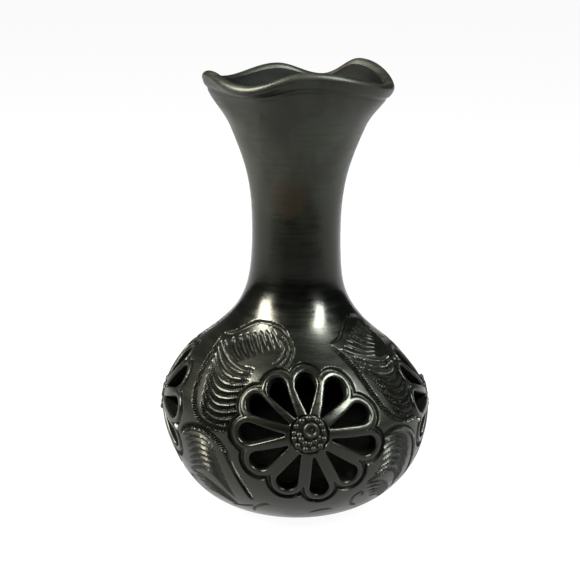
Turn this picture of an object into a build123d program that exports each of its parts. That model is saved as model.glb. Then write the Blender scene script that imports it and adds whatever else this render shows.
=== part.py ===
"""Barro negro vase: a coil-built black clay vessel with a ruffled rim and three pierced flowers.

The wall is the stack of clay pieces that the potter lutes together: a base slab, a bowl, a shoulder,
a neck, a mouth and a ruffled rim. They meet on bevelled faces. Each flower is cut through the bowl,
and its hub carries an applied boss, a button and a cluster of clay pellets.

Frame: millimetres, +Z up, origin at the centre of the foot, which rests on Z = 0.
Azimuths are in degrees from -Y, growing towards +X. Arc lengths run up the outer profile.
"""

import os
from math import atan2, cos, degrees, hypot, pi, radians, sin, sqrt

from build123d import *

# ---- Driving dimensions ------------------------------------------------------------------------
FOOT_RADIUS = 20.0
BODY_RADIUS = 63.3
BODY_HEIGHT = 49.8  # height of the widest circle
RIM_BASE_Z = 179.0  # where the ruffle starts
RIM_BASE_RADIUS = 30.3
RIM_BASE_SLOPE = 0.42  # how fast the mouth widens there
BODY_WALL = 5.0
FLOOR = 6.5
NECK_WALL = 4.5

# Outer profile above the widest circle, as (radius, height)
SHOULDER_PROFILE = [
    (BODY_RADIUS, BODY_HEIGHT),
    (56.2, 67.0),
    (49.6, 75.0),
    (40.0, 83.0),
    (31.5, 91.0),
    (26.4, 98.0),
    (23.3, 105.0),
    (21.0, 119.0),
    (20.6, 136.0),
    (22.5, 156.0),
    (26.3, 169.0),
    (RIM_BASE_RADIUS, RIM_BASE_Z),
]

# Bevelled seams between the pieces of clay, each as its outer and its inner (radius, height)
SLAB_SEAM = ((31.0, 0.0), (26.0, FLOOR + 1.0))
BOWL_SEAM = ((41.5, 82.0), (35.5, 79.5))
SHOULDER_SEAM = ((23.5, 104.5), (18.5, 107.5))
NECK_SEAM = ((22.0, 151.0), (17.5, 154.0))

# Ruffled rim
RIM_WALL = 4.0
LIP_RADIUS = 2.4  # of the rounded edge
SLIP_GAP = 0.01  # the slip between the mouth and the ruffle
RIM_SECTIONS = 32
# The crests and dips of the edge, in order: azimuth, then radius, height and rise angle of its centre
RUFFLE = [
    (6, 40.0, 206.0, 72),
    (80, 41.3, 198.3, 60),
    (134, 40.5, 206.5, 70),
    (165, 41.0, 198.0, 45),
    (195, 40.0, 203.0, 65),
    (233, 41.5, 198.0, 40),
    (290, 41.2, 203.8, 85),
    (328, 42.3, 199.6, 12),
]

# Pierced flowers
FLOWER_AZIMUTHS = [6.0, 94.0, 272.0]
FLOWER_ARC = 76.5  # arc length from the foot's edge up to the hub
FLOWER_TURNS = [0.0, 9.0, 14.0]  # how far each flower is turned on its hub
# Petal openings, clockwise from the top one: direction, inner tip, outer end and end radius
PETALS = [
    (2, 9.0, 29.4, 6.0),
    (40, 9.6, 32.0, 5.9),
    (74, 9.8, 31.8, 5.1),
    (106, 10.6, 33.5, 4.8),
    (138, 11.2, 33.0, 4.8),
    (170, 11.3, 33.5, 4.8),
    (204, 10.5, 31.8, 5.2),
    (239, 11.2, 31.6, 4.9),
    (268, 11.2, 32.8, 5.1),
    (297, 9.9, 33.2, 5.0),
    (325, 9.1, 31.0, 5.4),
]
PETAL_TIP_RADIUS = 0.5
CUT_DEPTH = 9.0  # half the length of a petal cutter

# Applied hub of each flower
BOSS_RADIUS = 8.2
BOSS_SEAT = 2.2  # how deep the boss is let into the wall
BOSS_THICKNESS = 1.5
BUTTON_RADIUS = 3.5
BUTTON_THICKNESS = 1.2
BUTTON_DISH = 0.8  # depth of its dished top
BUTTON_RISE = 1.7  # the button sits above the hub's centre
BUTTON_ASIDE = 0.8  # and to its right
PELLET_RADIUS = 1.1
PELLET_SINK = 0.25  # how far a pellet's centre lies under the boss's face
OUTER_PELLETS = 13
OUTER_PELLET_RING = 6.9
INNER_PELLETS = 6
INNER_PELLET_RING = 4.45
INNER_PELLETS_FROM = 115  # degrees clockwise from straight up
INNER_PELLET_STEP = 30  # degrees

FAR = 80.0  # beyond the widest part of the vessel


# ---- Profile -----------------------------------------------------------------------------------
def xz(points):
    """Points in the XZ plane from (radius, height) pairs."""
    return [Vector(r, 0, z) for r, z in points]


def bowl_arc(inset, floor):
    """Quarter ellipse from the foot's edge to the widest circle, moved inwards by inset and floor."""
    plane = Plane(origin=(FOOT_RADIUS, 0, BODY_HEIGHT), x_dir=(1, 0, 0), z_dir=(0, -1, 0))
    return plane * EllipticalCenterArc(
        (0, 0),
        BODY_RADIUS - FOOT_RADIUS - inset,
        BODY_HEIGHT - floor,
        start_angle=270,
        arc_size=90,
    )


def wall_at(height):
    """Wall thickness at a height: it thins from the body to the neck."""
    share = min(max((height - BODY_HEIGHT) / (100.0 - BODY_HEIGHT), 0.0), 1.0)
    return BODY_WALL + share * (NECK_WALL - BODY_WALL)


def outer_upper():
    return Spline(xz(SHOULDER_PROFILE), tangents=[(0, 0, 1), (RIM_BASE_SLOPE, 0, 1)])


def inner_upper():
    """The outer profile's upper part, moved in by the wall's thickness along its normal."""
    outer = outer_upper()
    points = []
    count = 14
    for i in range(count + 1):
        at = outer @ (i / count)
        along = outer % (i / count)
        inward = Vector(-along.Z, 0, along.X)
        points.append(at + inward * wall_at(at.Z))
    points[0] = Vector(BODY_RADIUS - BODY_WALL, 0, BODY_HEIGHT)
    points[-1] = Vector(rim_base_inner_radius(), 0, RIM_BASE_Z)
    return Spline(points, tangents=[(0, 0, 1), (RIM_BASE_SLOPE, 0, 1)])


def rim_base_inner_radius():
    """Inner radius of the flat seam under the ruffle."""
    return RIM_BASE_RADIUS - NECK_WALL * sqrt(1 + RIM_BASE_SLOPE**2)


OUTER = Wire([bowl_arc(0, 0), outer_upper()])


def half_section():
    """The whole wall's half section, from the axis to the rim's seam."""
    inner_low = bowl_arc(BODY_WALL, FLOOR)
    inner_high = inner_upper()
    outer_low = bowl_arc(0, 0)
    outer_high = outer_upper()
    edges = [
        Line((0, 0, 0), outer_low @ 0),
        outer_low,
        outer_high,
        Line(outer_high @ 1, inner_high @ 1),
        inner_high,
        inner_low,
        Line(inner_low @ 0, (0, 0, FLOOR)),
        Line((0, 0, FLOOR), (0, 0, 0)),
    ]
    return make_face(edges)


# ---- Wall pieces -------------------------------------------------------------------------------
def extended(seam, by=8.0):
    """A seam's ends, moved apart so that its line crosses the whole wall."""
    outer, inner = (Vector(r, 0, z) for r, z in seam)
    along = (outer - inner).normalized()
    return outer + along * by, inner - along * by


def between(low_seam, high_seam):
    """The region of the half plane between two seams."""
    low_outer, low_inner = extended(low_seam)
    high_outer, high_inner = extended(high_seam)
    corners = [
        low_inner,
        low_outer,
        Vector(FAR, 0, low_outer.Z),
        Vector(FAR, 0, high_outer.Z),
        high_outer,
        high_inner,
    ]
    return make_face(Polyline(*corners, close=True))


def slab_region():
    outer, inner = extended(SLAB_SEAM)
    corners = [
        Vector(0, 0, outer.Z),
        outer,
        inner,
        Vector(0, 0, inner.Z),
    ]
    return make_face(Polyline(*corners, close=True))


def turned(region, section):
    """The part of the section inside the region, turned about the vessel's axis."""
    return revolve(section & region, axis=Axis.Z)


# ---- Places on the outer surface ---------------------------------------------------------------
def surface_plane(azimuth, arc, heading=0.0):
    """Plane on the outer surface: Z outwards, X along heading, clockwise from straight up."""
    at = OUTER.position_at(arc, position_mode=PositionMode.LENGTH)
    along = OUTER.tangent_at(arc, position_mode=PositionMode.LENGTH)
    spin = Rotation(0, 0, azimuth - 90)
    point = Vector(at.X, 0, at.Z).rotate(Axis.Z, azimuth - 90)
    up = Vector(along.X, 0, along.Z).rotate(Axis.Z, azimuth - 90)
    out = Vector(along.Z, 0, -along.X).rotate(Axis.Z, azimuth - 90)
    right = up.cross(out)
    x_dir = up * cos(radians(heading)) + right * sin(radians(heading))
    return Plane(origin=point, x_dir=x_dir, z_dir=out)


def flower_place(flower, direction, reach):
    """Plane at a distance from a flower's hub, its X pointing away from the hub, and its stretch.

    A flower is drawn flat, at the scale of the widest circle. Where the vessel is narrower the drawing
    narrows with it, so directions turn towards the meridian and lengths shrink by the stretch.
    """
    arc = FLOWER_ARC + reach * cos(radians(direction))
    narrowing = OUTER.position_at(arc, position_mode=PositionMode.LENGTH).X / BODY_RADIUS
    sideways = sin(radians(direction)) * narrowing
    upward = cos(radians(direction))
    azimuth = FLOWER_AZIMUTHS[flower] + degrees(reach * sin(radians(direction)) / BODY_RADIUS)
    heading = degrees(atan2(sideways, upward))
    return surface_plane(azimuth, arc, heading), hypot(sideways, upward), narrowing


# ---- Flowers -----------------------------------------------------------------------------------
def teardrop(inner, outer, end_radius):
    """A petal's outline along X: a round end and a narrow tip."""
    middle = (inner + outer) / 2
    end = Pos(outer - end_radius - middle, 0) * Circle(end_radius)
    tip = Pos(inner + PETAL_TIP_RADIUS - middle, 0) * Circle(PETAL_TIP_RADIUS)
    return make_hull([*end.edges(), *tip.edges()])


def petal_cutter(flower, petal):
    """A petal opening's prism, along the surface's own normal."""
    direction, inner, outer, end_radius = petal
    turned_by = direction + FLOWER_TURNS[flower]
    place, stretch, narrowing = flower_place(flower, turned_by, (inner + outer) / 2)
    outline = place * teardrop(inner * stretch, outer * stretch, end_radius * narrowing)
    return extrude(outline, amount=CUT_DEPTH, both=True)


def petal_cutters():
    return [petal_cutter(f, p) for f in range(len(FLOWER_AZIMUTHS)) for p in PETALS]


def boss_plane(flower):
    """The plane that a flower's boss is seated on, under the outer surface."""
    hub = surface_plane(FLOWER_AZIMUTHS[flower], FLOWER_ARC, FLOWER_TURNS[flower])
    return hub.offset(-BOSS_SEAT)


def boss(flower):
    return boss_plane(flower) * extrude(Circle(BOSS_RADIUS), BOSS_THICKNESS)


def boss_seat(flower):
    """What is cut from the wall so that the boss sits flat."""
    return boss_plane(flower) * extrude(Circle(BOSS_RADIUS), BOSS_SEAT * 4)


def button(flower):
    """A flat round button with a dished top."""
    face = boss_plane(flower).offset(BOSS_THICKNESS)
    disc = Pos(BUTTON_RISE, -BUTTON_ASIDE) * extrude(Circle(BUTTON_RADIUS), BUTTON_THICKNESS)
    dish_height = BUTTON_THICKNESS - BUTTON_DISH + BUTTON_RADIUS
    dish = Pos(BUTTON_RISE, -BUTTON_ASIDE, dish_height) * Sphere(BUTTON_RADIUS)
    return face * (disc - dish)


def pellets(flower):
    """Round pellets pressed on the boss: a full outer ring, and an arc round the button's lower side."""
    face = boss_plane(flower).offset(BOSS_THICKNESS)
    cap = Pos(0, 0, -PELLET_SINK) * Sphere(PELLET_RADIUS) - Pos(0, 0, -5) * Box(10, 10, 10)
    places = [
        Rot(0, 0, 360 * i / OUTER_PELLETS) * Pos(OUTER_PELLET_RING, 0)
        for i in range(OUTER_PELLETS)
    ]
    places += [
        Rot(0, 0, -INNER_PELLETS_FROM - INNER_PELLET_STEP * i) * Pos(INNER_PELLET_RING, 0)
        for i in range(INNER_PELLETS)
    ]
    return Compound(children=[face * place * cap for place in places])


# ---- Ruffled rim -------------------------------------------------------------------------------
def ruffle_at(azimuth):
    """Radius, height and rise angle of the edge's centre, eased between crests and dips."""
    azimuth = azimuth % 360
    for i, low in enumerate(RUFFLE):
        high = RUFFLE[(i + 1) % len(RUFFLE)]
        span = (high[0] - low[0]) % 360
        into = (azimuth - low[0]) % 360
        if into <= span:
            share = (1 - cos(pi * into / span)) / 2
            return [a + (b - a) * share for a, b in zip(low[1:], high[1:])]
    raise ValueError(azimuth)


def rim_section(azimuth):
    """Closed outline of the ruffled wall in the radial plane at an azimuth."""
    edge_radius, edge_height, rise = ruffle_at(azimuth)
    start = Vector((RIM_BASE_RADIUS + rim_base_inner_radius()) / 2, 0, RIM_BASE_Z)
    end = Vector(edge_radius, 0, edge_height)
    reach = (end - start).length
    lead_in = start + Vector(RIM_BASE_SLOPE, 0, 1).normalized() * reach * 0.4
    lead_out = end - Vector(cos(radians(rise)), 0, sin(radians(rise))) * reach * 0.35
    middle = Bezier(start, lead_in, lead_out, end)
    outer = [Vector(RIM_BASE_RADIUS, 0, RIM_BASE_Z)]
    inner = [Vector(rim_base_inner_radius(), 0, RIM_BASE_Z)]
    for share in (0.3, 0.6, 0.85, 1.0):
        along = middle % share
        out = Vector(along.Z, 0, -along.X)
        half = LIP_RADIUS if share == 1.0 else RIM_WALL / 2
        outer.append(middle @ share + out * half)
        inner.append(middle @ share - out * half)
    tip = end + (middle % 1) * LIP_RADIUS
    at_start = Vector(RIM_BASE_SLOPE, 0, 1)
    at_end = middle % 1
    edges = [
        Spline(outer, tangents=[at_start, at_end]),
        ThreePointArc(outer[-1], tip, inner[-1]),
        Spline(inner[::-1], tangents=[-at_end, -at_start]),
        Line(inner[0], outer[0]),
    ]
    return Wire(edges).rotate(Axis.Z, azimuth - 90)


def ruffled_rim():
    """Two half turns of the ruffled wall, joined into one ring."""
    step = 360 / RIM_SECTIONS
    half = RIM_SECTIONS // 2
    halves = [
        Solid.make_loft([rim_section(step * i) for i in range(first, first + half + 1)])
        for first in (0, half)
    ]
    return Pos(0, 0, SLIP_GAP) * (halves[0] + halves[1])


# ---- Assembly ----------------------------------------------------------------------------------
def build():
    section = half_section()
    rim_seam = ((FAR, RIM_BASE_Z), (0.0, RIM_BASE_Z))
    flowers = range(len(FLOWER_AZIMUTHS))
    bowl = turned(between(SLAB_SEAM, BOWL_SEAM), section)
    bowl = bowl - petal_cutters() - [boss_seat(f) for f in flowers]
    parts = {
        "base_slab": turned(slab_region(), section),
        "bowl_wall": bowl,
        "shoulder": turned(between(BOWL_SEAM, SHOULDER_SEAM), section),
        "neck": turned(between(SHOULDER_SEAM, NECK_SEAM), section),
        "mouth": turned(between(NECK_SEAM, rim_seam), section),
        "ruffled_rim": ruffled_rim(),
    }
    for f in flowers:
        number = f + 1
        parts[f"flower_boss_{number}"] = boss(f)
        parts[f"flower_button_{number}"] = button(f)
        parts[f"flower_pellets_{number}"] = pellets(f)
    return parts


os.makedirs("parts", exist_ok=True)
for name, shape in build().items():
    export_step(shape, f"parts/{name}.step")
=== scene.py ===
"""The looks of a barro negro vase: burnished black clay with carved leaves and pierced flowers.

Every piece of clay gets a finer mesh than its CAD node, in the same frame. The carving is a depth
drawn on a chart of the outer surface: an azimuth in degrees from -Y, growing towards +X, and the
arc length in mm from the middle of the foot. Shapes are worked out in mm and written in metres.
"""

import math

import bpy
import numpy as np
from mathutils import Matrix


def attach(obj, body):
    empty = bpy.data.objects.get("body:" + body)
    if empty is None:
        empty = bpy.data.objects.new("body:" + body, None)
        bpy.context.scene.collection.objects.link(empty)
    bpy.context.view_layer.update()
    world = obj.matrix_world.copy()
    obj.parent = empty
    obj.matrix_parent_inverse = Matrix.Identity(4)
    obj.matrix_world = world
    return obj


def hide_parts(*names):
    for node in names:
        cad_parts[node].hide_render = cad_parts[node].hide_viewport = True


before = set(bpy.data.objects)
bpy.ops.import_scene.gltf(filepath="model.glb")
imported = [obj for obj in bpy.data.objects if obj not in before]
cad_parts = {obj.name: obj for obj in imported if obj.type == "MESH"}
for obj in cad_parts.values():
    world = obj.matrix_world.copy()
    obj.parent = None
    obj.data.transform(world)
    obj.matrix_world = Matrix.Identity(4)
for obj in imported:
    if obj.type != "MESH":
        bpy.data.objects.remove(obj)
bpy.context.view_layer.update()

MM = 0.001
TAU = 2 * math.pi

# ---- The vessel's dimensions, as in the CAD model ----
FOOT_RADIUS = 20.0
BODY_RADIUS = 63.3
BODY_HEIGHT = 49.8
RIM_BASE_Z = 179.0
RIM_BASE_RADIUS = 30.3
RIM_BASE_SLOPE = 0.42
BODY_WALL = 5.0
NECK_WALL = 4.5
FLOOR = 6.5
SHOULDER_PROFILE = [
    (BODY_RADIUS, BODY_HEIGHT),
    (56.2, 67.0),
    (49.6, 75.0),
    (40.0, 83.0),
    (31.5, 91.0),
    (26.4, 98.0),
    (23.3, 105.0),
    (21.0, 119.0),
    (20.6, 136.0),
    (22.5, 156.0),
    (26.3, 169.0),
    (RIM_BASE_RADIUS, RIM_BASE_Z),
]
SLAB_SEAM = ((31.0, 0.0), (26.0, FLOOR + 1.0))
BOWL_SEAM = ((41.5, 82.0), (35.5, 79.5))
SHOULDER_SEAM = ((23.5, 104.5), (18.5, 107.5))
NECK_SEAM = ((22.0, 151.0), (17.5, 154.0))

# How far the hand-built vessel stands off its axis along X, by height
LEAN = [(0.0, 0.3), (22.0, 1.0), (50.0, 0.2), (74.0, -1.3), (98.0, -0.6), (125.0, -0.3), (209.0, -0.3)]

# ---- Flowers ----
FLOWER_AZIMUTHS = [6.0, 94.0, 272.0]
FLOWER_TURNS = [0.0, 9.0, 14.0]
# Each leaf spray stands to the left of one of these azimuths
SPRAY_AZIMUTHS = [4.6, 94.0, 183.0, 272.0]
# The unpierced back has one more leaf, the lower one of a spray, moved round and up
BACK_LEAF_AZIMUTH = 231.0
BACK_LEAF_RISE = 19.0
# The lower leaf of a spray lies between these arc lengths
LOWER_LEAF_SPAN = (56.0, 97.0)
HUB_ARC = FOOT_RADIUS + 76.5
# Petal openings, clockwise from the top one: direction, inner tip, outer end and end radius
PETALS = [
    (2, 9.0, 29.4, 6.0),
    (40, 9.6, 32.0, 5.9),
    (74, 9.8, 31.8, 5.1),
    (106, 10.6, 33.5, 4.8),
    (138, 11.2, 33.0, 4.8),
    (170, 11.3, 33.5, 4.8),
    (204, 10.5, 31.8, 5.2),
    (239, 11.2, 31.6, 4.9),
    (268, 11.2, 32.8, 5.1),
    (297, 9.9, 33.2, 5.0),
    (325, 9.1, 31.0, 5.4),
]
PETAL_TIP_RADIUS = 0.5
# The band left round a flower's openings, and the scalloped channel that sets it off
BAND = 2.5
NOTCH_RADIUS = 27.0
CHANNEL_WIDTH = 2.5
CHANNEL_DEPTH = 1.7
EDGE_ROUNDING = 0.5
# The seat sunk for the boss in the middle of each flower
HUB_SEAT_RADIUS = 9.0
HUB_SEAT_DEPTH = 2.1


# ---- Profile ----
def clamped_spline(points, start_slope, end_slope, count):
    """Cubic spline through points, by chord length, with unit end tangents."""
    points = np.array(points, float)
    t = np.r_[0, np.cumsum(np.linalg.norm(np.diff(points, axis=0), axis=1))]
    n = len(t)
    gap = np.diff(t)
    left = np.zeros((n, n))
    right = np.zeros((n, 2))
    left[0, 0] = left[-1, -1] = 1
    right[0] = np.array(start_slope) / np.linalg.norm(start_slope)
    right[-1] = np.array(end_slope) / np.linalg.norm(end_slope)
    for i in range(1, n - 1):
        left[i, i - 1 : i + 2] = gap[i], 2 * (gap[i] + gap[i - 1]), gap[i - 1]
        rise = (points[i + 1] - points[i]) / gap[i]
        fall = (points[i] - points[i - 1]) / gap[i - 1]
        right[i] = 3 * (gap[i - 1] * rise + gap[i] * fall)
    slopes = np.linalg.solve(left, right)
    at = np.linspace(0, t[-1], count)
    k = np.clip(np.searchsorted(t, at, side="right") - 1, 0, n - 2)
    h = gap[k][:, None]
    u = ((at - t[k]) / gap[k])[:, None]
    return (
        (2 * u**3 - 3 * u**2 + 1) * points[k]
        + (u**3 - 2 * u**2 + u) * h * slopes[k]
        + (3 * u**2 - 2 * u**3) * points[k + 1]
        + (u**3 - u**2) * h * slopes[k + 1]
    )


def outer_profile():
    """Dense arc length, radius, height and outward normal of the outer surface, up to the ruffle."""
    turn = np.linspace(0, math.pi / 2, 1500)
    quarter = np.c_[
        FOOT_RADIUS + (BODY_RADIUS - FOOT_RADIUS) * np.sin(turn),
        BODY_HEIGHT * (1 - np.cos(turn)),
    ]
    upper = clamped_spline(SHOULDER_PROFILE, (0, 1), (RIM_BASE_SLOPE, 1), 3000)
    line = np.r_[[[0.0, 0.0]], quarter, upper[1:]]
    arc = np.r_[0, np.cumsum(np.linalg.norm(np.diff(line, axis=0), axis=1))]
    along = np.gradient(line, arc, axis=0)
    along[0] = along[1] = (1, 0)
    along /= np.linalg.norm(along, axis=1)[:, None]
    return arc, line[:, 0], line[:, 1], along[:, 1], -along[:, 0]


ARC, RADIUS, HEIGHT, OUT_R, OUT_Z = outer_profile()


def radius_at(arc):
    return np.interp(arc, ARC, RADIUS)


def height_at(arc):
    return np.interp(arc, ARC, HEIGHT)


def arc_at(height):
    """Arc length of a height above the foot."""
    return float(np.interp(height, HEIGHT[1:], ARC[1:]))


def wall_at(arc):
    """The wall thins from the body to the neck."""
    share = np.clip((height_at(arc) - BODY_HEIGHT) / (100 - BODY_HEIGHT), 0, 1)
    return BODY_WALL + share * (NECK_WALL - BODY_WALL)


def lean(height):
    heights, shifts = zip(*LEAN)
    t = np.clip(np.interp(height, heights, np.arange(len(LEAN))), 0, len(LEAN) - 1 - 1e-9)
    k = t.astype(int)
    u = t - k
    shifts = np.array(shifts)
    return shifts[k] + (shifts[k + 1] - shifts[k]) * u * u * (3 - 2 * u)


def in_space(azimuth, radius, height):
    """Points in mm from an azimuth in radians, a radius and a height."""
    x = radius * np.sin(azimuth) + lean(height)
    y = -radius * np.cos(azimuth)
    return np.stack(np.broadcast_arrays(x, y, height), axis=-1)


def lifted(arc, lift):
    """Radius and height at a lift along the outer surface's normal."""
    out_r, out_z = np.interp(arc, ARC, OUT_R), np.interp(arc, ARC, OUT_Z)
    return radius_at(arc) + out_r * lift, height_at(arc) + out_z * lift


def on_outer(azimuth, arc, lift=0.0):
    """Points in mm at a lift along the outer surface's normal."""
    return in_space(azimuth, *lifted(arc, lift))


# ---- Noise ----
def waves(azimuth, arc, scale, count, seed):
    """Smooth noise from -1 to 1 that joins up round the vessel."""
    pick = np.random.default_rng(seed)
    total = np.zeros(np.broadcast(azimuth, arc).shape)
    for _ in range(count):
        around = round(pick.normal() * BODY_RADIUS / scale)
        along = pick.normal() / scale
        total += np.sin(around * azimuth + along * arc + pick.uniform(0, TAU))
    return total / math.sqrt(count * 2)


# ---- Carving: strokes on the chart ----
def smooth_path(points, step=0.45):
    """Catmull-Rom curve through chart points, in degrees and mm, sampled about every step mm."""
    points = np.array(points, float)
    ends = np.r_[[2 * points[0] - points[1]], points, [2 * points[-1] - points[-2]]]
    out = []
    for i in range(1, len(ends) - 2):
        a, b, c, d = ends[i - 1 : i + 3]
        size = np.hypot((c - b)[0] * math.radians(radius_at(b[1])), (c - b)[1])
        u = np.linspace(0, 1, max(int(size / step), 2), endpoint=False)[:, None]
        out.append(
            0.5 * (2 * b + (c - a) * u + (2 * a - 5 * b + 4 * c - d) * u**2 + (3 * b - a - 3 * c + d) * u**3)
        )
    out.append(points[-1:])
    return np.concatenate(out)


class Stroke:
    """A tool mark: its path, half width, depth, how its ends taper and how deep its notches are."""

    def __init__(self, points, width, depth, taper=(4.0, 4.0), notch=0.0, pitch=1.2, slant=0.4):
        path = smooth_path(points)
        self.azimuth = np.radians(path[:, 0])
        self.arc = path[:, 1]
        self.width, self.depth, self.taper = width, depth, taper
        self.notch, self.pitch, self.slant = notch, pitch, slant
        across = np.diff(self.azimuth) * radius_at(self.arc[:-1])
        self.run = np.r_[0, np.cumsum(np.hypot(across, np.diff(self.arc)))]

    def measure(self, azimuth, arc, reach):
        """Indices of points within reach, their distance across the stroke and along it."""
        low, high = self.arc.min() - reach, self.arc.max() + reach
        near = np.flatnonzero((arc > low) & (arc < high))
        middle = (self.azimuth.min() + self.azimuth.max()) / 2
        half = (self.azimuth.max() - self.azimuth.min()) / 2
        turn = (azimuth[near] - middle + math.pi) % TAU - math.pi
        radius = radius_at(arc[near])
        keep = np.abs(turn) < half + reach / radius
        near, turn, radius = near[keep], turn[keep], radius[keep]
        if not len(near):
            return near, turn, turn
        best = np.full(len(near), 1e9)
        pick = np.zeros(len(near), int)
        for k in range(len(self.arc)):
            gap = ((turn - self.azimuth[k] + middle) * radius) ** 2 + (arc[near] - self.arc[k]) ** 2
            closer = gap < best
            best[closer] = gap[closer]
            pick[closer] = k
        keep = best < reach**2
        near, turn, radius, pick = near[keep], turn[keep], radius[keep], pick[keep]
        dx = (turn - self.azimuth[pick] + middle) * radius
        dy = arc[near] - self.arc[pick]
        tx = np.gradient(self.azimuth)[pick] * radius_at(self.arc[pick])
        ty = np.gradient(self.arc)[pick]
        size = np.hypot(tx, ty)
        tx, ty = tx / size, ty / size
        return near, dx * ty - dy * tx, self.run[pick] + dx * tx + dy * ty

    def cut(self, azimuth, arc, depth):
        """Lowers depth, in place, to this stroke's groove."""
        near, across, along = self.measure(azimuth, arc, self.width * 1.4 + 0.3)
        if not len(near):
            return
        length = self.run[-1]
        fade = np.ones(len(near))
        if self.taper[0]:
            fade *= np.clip(along / self.taper[0], 0, 1) ** 0.7
        if self.taper[1]:
            fade *= np.clip((length - along) / self.taper[1], 0, 1) ** 0.7
        fade *= (along > -self.width) & (along < length + self.width)
        phase = TAU * (along + self.slant * across) / self.pitch
        notch = self.notch * np.cos(phase)
        half = self.width * (0.45 + 0.55 * fade) * (1 + 0.35 * notch)
        groove = np.clip(1 - np.abs(across / half) ** 2.4, 0, None)
        depth[near] = np.maximum(depth[near], self.depth * fade * groove * (1 + notch))


def blended(count, first, middle, last):
    """Paths that run from a first one through a middle one to a last one, on parabolas."""
    first, middle, last = np.array(first, float), np.array(middle, float), np.array(last, float)
    return [
        first * (1 - t) * (1 - 2 * t) + middle * 4 * t * (1 - t) + last * t * (2 * t - 1)
        for t in np.linspace(0, 1, count)
    ]


def leaf_strokes():
    """Grooves of one pair of leaves, left of a flower, as chart offsets from SPRAY_AZIMUTHS."""
    rope = dict(width=1.5, depth=0.95, notch=0.6, pitch=1.2)
    comb = dict(notch=0.45, pitch=1.1)
    strokes = [
        # Upper leaf: the wide roped border down its left side and under it
        Stroke([(-67, 138.5), (-62, 132), (-58.6, 124.5), (-56.6, 117), (-54.6, 109.5), (-51.8, 102.5),
                (-47.5, 97.8), (-42, 95.8), (-35, 95.6), (-30, 98)], taper=(7, 3), **rope),
        # Its smooth top edge
        Stroke([(-67, 140), (-57, 142.4), (-50.5, 146), (-41, 149.8), (-29, 150.4), (-17, 148.7),
                (-9, 144.6)], width=1.05, depth=1.35, taper=(5, 3)),
        # The fine beaded edges that close it on the right
        Stroke([(-12, 146), (-6.6, 142), (-4.4, 136.2), (-6.5, 129.5), (-11.5, 125)], width=0.6, depth=0.5,
               taper=(2, 2), **comb),
        Stroke([(-14, 144.5), (-9.3, 140.5), (-7.8, 135.8), (-9.8, 130.5), (-14.5, 126.6)], width=0.5,
               depth=0.45, taper=(2, 2), **comb),
        Stroke([(-15.5, 142), (-12.2, 139), (-11.2, 135.6), (-13.0, 131.8), (-17.0, 129)], width=0.5,
               depth=0.4, taper=(2, 2), **comb),
    ]
    # Upper leaf: veins from its top edge down to its middle line
    veins = blended(
        8,
        [(-59, 137), (-49, 132), (-37.5, 128)],
        [(-41, 144.5), (-33, 138.5), (-26.5, 133.5)],
        [(-22.5, 147), (-17.5, 142), (-13.5, 138)],
    )
    for i, vein in enumerate(veins):
        strokes.append(Stroke(vein, width=1.2 - 0.06 * i, depth=1.5 - 0.09 * i, taper=(2, 5)))
    # Upper leaf: crescents that hang from its left border, from the top one to the lowest
    crescents = blended(
        9,
        [(-62.5, 136), (-51.5, 131.5), (-41.5, 127.5), (-33, 125), (-25.5, 125)],
        [(-53, 122), (-47.5, 116), (-41.5, 112), (-35, 111.5), (-27, 113.5)],
        [(-48.5, 106), (-45.5, 101), (-40.5, 98.5), (-34.5, 98.5), (-27, 101)],
    )
    for i, crescent in enumerate(crescents):
        strokes.append(Stroke(crescent, width=1.3, depth=1.5, taper=(5, 2), notch=0.1 + 0.04 * i, pitch=1.2))
    # Lower leaf: its arched, roped border
    strokes.append(
        Stroke([(-61, 87), (-56, 91.6), (-50, 94), (-44, 93.4), (-38.6, 90.6), (-34.4, 85.6), (-31.9, 78),
                (-29.4, 69.5), (-26.2, 58)], taper=(5, 3), **rope)
    )
    # Lower leaf: stacked arches
    arches = blended(
        7,
        [(-58.5, 87.5), (-53.5, 90), (-47, 90.5), (-42, 88), (-38.5, 84)],
        [(-56.5, 79), (-50.5, 82), (-44.5, 81.5), (-41, 77.5), (-37, 70.5)],
        [(-61, 68.5), (-50.5, 72.5), (-44.5, 71.5), (-40.5, 66.5), (-36, 57.5)],
    )
    for i, arch in enumerate(arches):
        strokes.append(Stroke(arch, width=1.2 - 0.03 * i, depth=1.35 - 0.05 * i, taper=(4, 5), notch=0.1))
    # Lower leaf: finer veins at its foot
    for i in range(5):
        strokes.append(
            Stroke([(-61 + 1.5 * i, 67.6 - 2.4 * i), (-52 + 1.2 * i, 66.8 - 2.6 * i),
                    (-44.5 + 0.8 * i, 61.6 - 2.3 * i), (-38.4 + 0.5 * i, 54.6 - 1.2 * i)],
                   width=0.72, depth=0.8, taper=(3, 4))
        )
    # Strokes that close the design near the foot
    strokes += [
        Stroke([(-43, 48.8), (-35, 50.6), (-26.5, 53.2)], width=0.8, depth=0.8, taper=(3, 3)),
        Stroke([(-29, 46), (-27, 51), (-22, 55), (-17, 56.5)], width=0.95, depth=1.0, taper=(3, 4)),
        Stroke([(3, 48.5), (9, 51), (16, 51.8)], width=0.85, depth=0.8, taper=(3, 3)),
        Stroke([(31, 50.5), (25.8, 54), (24.6, 60), (27.5, 62.6), (30.2, 59.5)], width=0.7, depth=0.8,
               taper=(2, 2)),
    ]
    return strokes


def shifted(stroke, turn, rise):
    """A copy of a stroke, moved round the vessel and up its side."""
    copy = Stroke.__new__(Stroke)
    copy.__dict__.update(stroke.__dict__)
    copy.azimuth = stroke.azimuth + turn
    copy.arc = stroke.arc + rise
    return copy


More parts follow.
